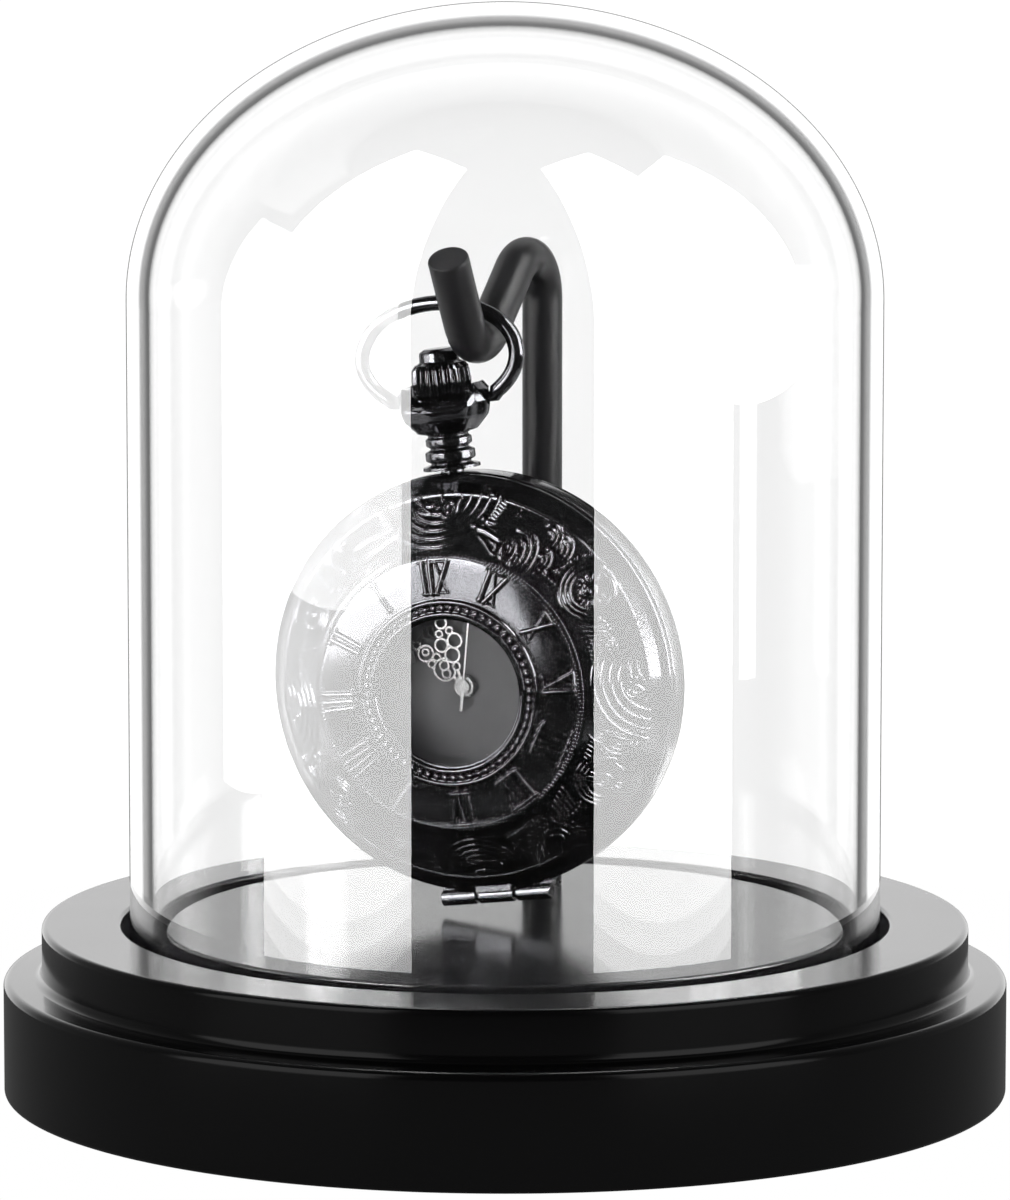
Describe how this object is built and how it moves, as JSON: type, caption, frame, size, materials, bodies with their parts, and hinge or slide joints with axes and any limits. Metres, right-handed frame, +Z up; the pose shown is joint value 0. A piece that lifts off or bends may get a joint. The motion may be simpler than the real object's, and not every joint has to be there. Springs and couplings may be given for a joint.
{
  "type": "bell jar dome",
  "caption": "Glass bell jar on a round black lacquered base, with a bent rod hook inside that holds an engraved demi-hunter pocket watch by its bow.",
  "frame": {"origin": "the middle of the base's underside, on the surface that the object stands on", "axes": "+Z up along the glass's axis, -Y to the front, where the watch looks, +X to the viewer's right"},
  "size_m": [0.107, 0.107, 0.1161],
  "materials": {
    "black_lacquer": "turned wood under a glossy black lacquer",
    "black_felt": "black felt, glued on",
    "satin_black_paint": "satin black powder coat over steel",
    "plated_steel": "zinc or nickel plated steel",
    "clear_glass": "clear blown glass with a fire-polished foot",
    "watch_crystal": "clear mineral glass",
    "gunmetal_plating": "black chrome plating over an embossed metal case, polished on the raised work",
    "dial_paint": "grey dial, satin, with fine printed numerals",
    "white_plastic": "moulded plastic ring",
    "bright_hands": "pierced hands, bright nickel plating"
  },
  "bodies": {
    "stand": {"base_body": "black_lacquer", "base_pad": "black_felt", "hook_rod": "satin_black_paint", "hook_washer": "plated_steel", "hook_nut": "plated_steel"},
    "dome": {"glass_dome": "clear_glass"},
    "bow": {"bow": "gunmetal_plating"},
    "watch_case": {"case_band": "gunmetal_plating", "back_cover": "gunmetal_plating", "hinge_pin": "gunmetal_plating", "dial_bezel": "gunmetal_plating", "dial_crystal": "watch_crystal", "dial": "dial_paint", "movement_ring": "white_plastic", "movement": "plated_steel", "battery": "plated_steel", "pendant": "gunmetal_plating", "lift_spring": "plated_steel"},
    "lock_spring": {"lock_spring": "plated_steel"},
    "lid": {"lid": "gunmetal_plating", "lid_window": "watch_crystal"},
    "stem": {"stem": "plated_steel"},
    "crown": {"crown": "gunmetal_plating"},
    "seconds_hand": {"seconds_hand": "bright_hands"},
    "minute_hand": {"minute_hand": "bright_hands"},
    "hour_hand": {"hour_hand": "bright_hands"}
  },
  "joints": [
    {"name": "dome_lift", "type": "slide", "parent": "stand", "child": "dome", "axis": [0, 0, 1], "range_m": [0, 0.1]},
    {"name": "bow_swing", "type": "hinge", "parent": "stand", "child": "bow", "pos_m": [-0.00279, 0.00573, 0.0796], "axis": [-0.3633, -0.9317, 0], "range_deg": [-6, 6]},
    {"name": "case_tilt", "type": "hinge", "parent": "bow", "child": "watch_case", "pos_m": [-0.00653, 0.00696, 0.07326], "axis": [0.9403, -0.3164, 0.1253], "range_deg": [-5, 5]},
    {"name": "lid_open", "type": "hinge", "parent": "watch_case", "child": "lid", "pos_m": [-0.00079, 0.00313, 0.02053], "axis": [0.9403, -0.3164, 0.1253], "range_deg": [0, 35]},
    {"name": "stem_press", "type": "slide", "parent": "watch_case", "child": "stem", "axis": [0.1188, -0.04, -0.9921], "range_m": [0, 0.0008], "stiffness_N_per_m": 600, "springref_m": -0.0005},
    {"name": "lock_flex", "type": "hinge", "parent": "watch_case", "child": "lock_spring", "pos_m": [0.00614, 0.00269, 0.06148], "axis": [-0.319, -0.9478, 0], "range_deg": [0, 1.6]},
    {"name": "crown_turn", "type": "hinge", "parent": "stem", "child": "crown", "pos_m": [-0.00683, 0.00706, 0.0758], "axis": [-0.1188, 0.04, 0.9921], "continuous": true},
    {"name": "seconds_turn", "type": "hinge", "parent": "watch_case", "child": "seconds_hand", "pos_m": [-0.00294, 0.00575, 0.0433], "axis": [0.319, 0.9478, 0], "continuous": true},
    {"name": "minute_turn", "type": "hinge", "parent": "watch_case", "child": "minute_hand", "pos_m": [-0.00294, 0.00575, 0.0433], "axis": [0.319, 0.9478, 0], "continuous": true},
    {"name": "hour_turn", "type": "hinge", "parent": "watch_case", "child": "hour_hand", "pos_m": [-0.00294, 0.00575, 0.0433], "axis": [0.319, 0.9478, 0], "continuous": true}
  ],
  "couplings": [
    {"joint": "lock_flex", "follows": "stem_press", "rad_per_m": 32.72},
    {"joint": "minute_turn", "follows": "seconds_turn", "ratio": 0.016667},
    {"joint": "hour_turn", "follows": "seconds_turn", "ratio": 0.0013889}
  ]
}
